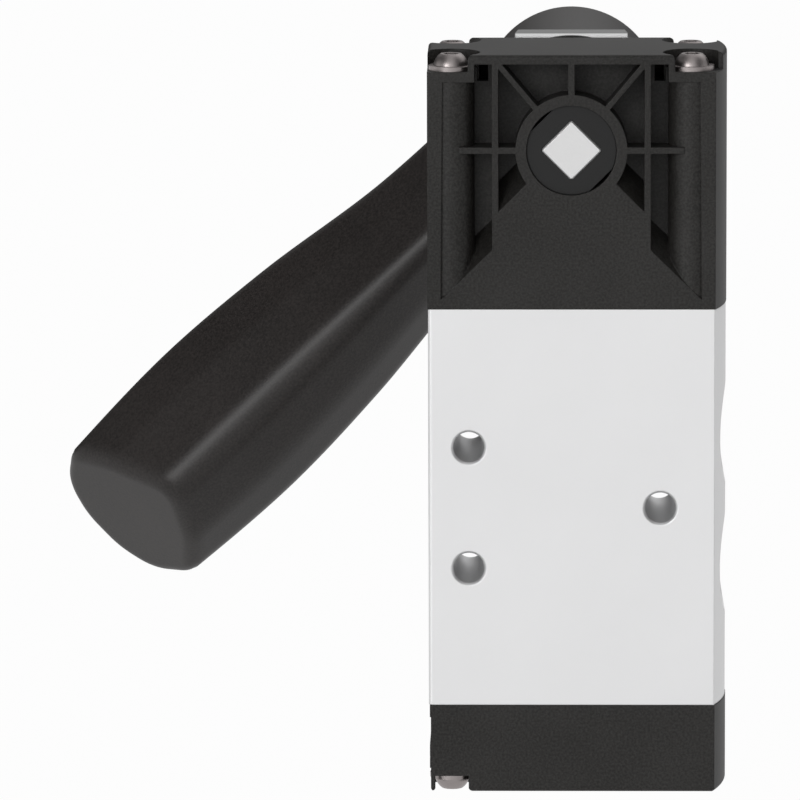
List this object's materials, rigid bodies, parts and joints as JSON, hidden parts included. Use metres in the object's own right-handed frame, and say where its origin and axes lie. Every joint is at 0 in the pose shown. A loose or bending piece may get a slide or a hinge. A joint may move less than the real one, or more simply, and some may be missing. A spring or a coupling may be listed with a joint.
{
  "type": "hand lever air valve",
  "caption": "Hand lever spool valve: aluminium body with threaded ports, ribbed black head, eccentric rotor and yoke inside, swept grip on a square shaft.",
  "frame": {"origin": "centre of the aluminium body's plain mounting face", "axes": "+X to the crowned side with the outlet ports, +Y from the mounting face to the lever, +Z along the spool to the head"},
  "size_m": [0.1228, 0.082, 0.134],
  "materials": {
    "body_aluminium": "bead blasted and clear anodised",
    "black_plastic": "fine textured glass-filled moulding",
    "lever_plastic": "satin textured moulding",
    "rotor_plastic": "smooth moulding",
    "screw_steel": "dark plated",
    "shaft_steel": "ground and zinc plated",
    "spring_steel": "rolled spring steel",
    "seal_rubber": "nitrile rubber",
    "cage_plastic": "natural acetal",
    "guide_brass": "turned",
    "yoke_brass": "machined",
    "spool_aluminium": "hard anodised and polished",
    "label_grey": "smooth moulding",
    "label_white": "smooth blank strip"
  },
  "bodies": {
    "valve": {"valve_body": "body_aluminium", "head_housing": "black_plastic", "end_cap": "black_plastic", "head_screws": "screw_steel", "end_cap_screws": "screw_steel", "spool_seals": "seal_rubber", "seal_cages": "cage_plastic", "upper_guide": "guide_brass", "lower_guide": "guide_brass", "retaining_ring": "spring_steel", "detent_leaf": "spring_steel", "front_bearing": "black_plastic", "label_carrier": "label_grey", "label_strip": "label_white"},
    "lever": {"lever_handle": "lever_plastic", "drive_shaft": "shaft_steel", "rotor": "rotor_plastic", "rotor_pin": "shaft_steel", "hub_screw": "screw_steel", "hub_washer": "shaft_steel", "hub_cap": "lever_plastic"},
    "spool": {"spool": "spool_aluminium", "spool_yoke": "yoke_brass", "yoke_pin": "shaft_steel"}
  },
  "joints": [
    {"name": "lever_swing", "type": "hinge", "parent": "valve", "child": "lever", "pos_m": [0, 0, 0.06463], "axis": [0, -1, 0], "range_deg": [0, 90], "deforming": ["detent_leaf"]},
    {"name": "spool_slide", "type": "slide", "parent": "valve", "child": "spool", "axis": [0, 0, 1], "range_m": [0, 0.00425]}
  ],
  "couplings": [
    {"joint": "spool_slide", "follows": "lever_swing", "m_per_rad": 0.0027009}
  ]
}
